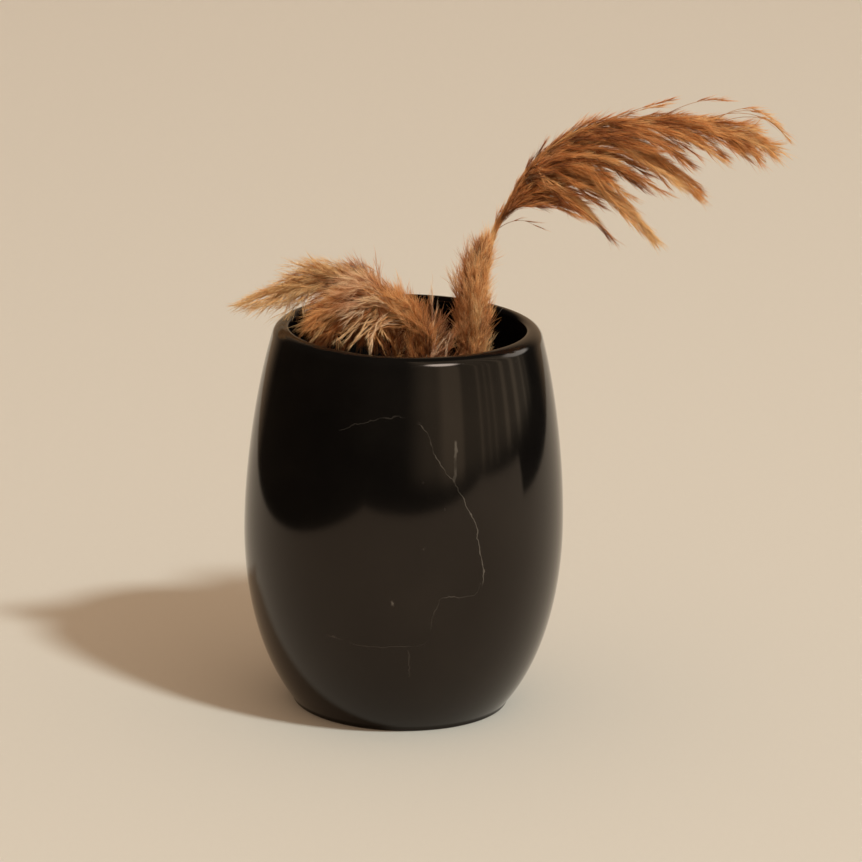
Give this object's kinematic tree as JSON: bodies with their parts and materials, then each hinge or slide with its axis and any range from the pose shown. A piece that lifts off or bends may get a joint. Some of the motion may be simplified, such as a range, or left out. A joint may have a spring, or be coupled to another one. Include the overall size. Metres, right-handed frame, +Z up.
{
  "type": "bud vase",
  "caption": "Barrel-shaped polished black stone vase with a wide rounded mouth and a flat foot, holding dried reed plumes that lift out.",
  "frame": {"origin": "centre of the vase's foot, on the surface it stands on", "axes": "+Z up along the vase's turning axis; +X is the side the long reed arches to; -Y is the front"},
  "size_m": [0.213, 0.1234, 0.2314],
  "materials": {
    "stone": "polished",
    "reed_stem": "matte",
    "reed_plume": "matte"
  },
  "bodies": {
    "vase": {"vase_body": "stone"},
    "long_reed": {"long_reed_stem": "reed_stem", "long_reed_plume_base": "reed_plume", "long_reed_plume_middle": "reed_plume", "long_reed_plume_tip": "reed_plume", "long_reed_side_tuft_a": "reed_plume", "long_reed_side_tuft_b": "reed_plume", "long_reed_side_tuft_c": "reed_plume"},
    "upright_reed": {"upright_reed_stem": "reed_stem", "upright_reed_plume_lower": "reed_plume", "upright_reed_plume_upper": "reed_plume"},
    "left_reed": {"left_reed_stem": "reed_stem", "left_reed_plume_base": "reed_plume", "left_reed_plume_tip": "reed_plume"},
    "curled_reed": {"curled_reed_stem": "reed_stem", "curled_reed_plume_base": "reed_plume", "curled_reed_plume_tip": "reed_plume"}
  },
  "joints": [
    {"name": "long_reed_lift", "type": "slide", "parent": "vase", "child": "long_reed", "axis": [0, 0, 1], "range_m": [0, 0.16]},
    {"name": "upright_reed_lift", "type": "slide", "parent": "vase", "child": "upright_reed", "axis": [0, 0, 1], "range_m": [0, 0.16]},
    {"name": "left_reed_lift", "type": "slide", "parent": "vase", "child": "left_reed", "axis": [0, 0, 1], "range_m": [0, 0.16]},
    {"name": "curled_reed_lift", "type": "slide", "parent": "vase", "child": "curled_reed", "axis": [0, 0, 1], "range_m": [0, 0.16]}
  ]
}
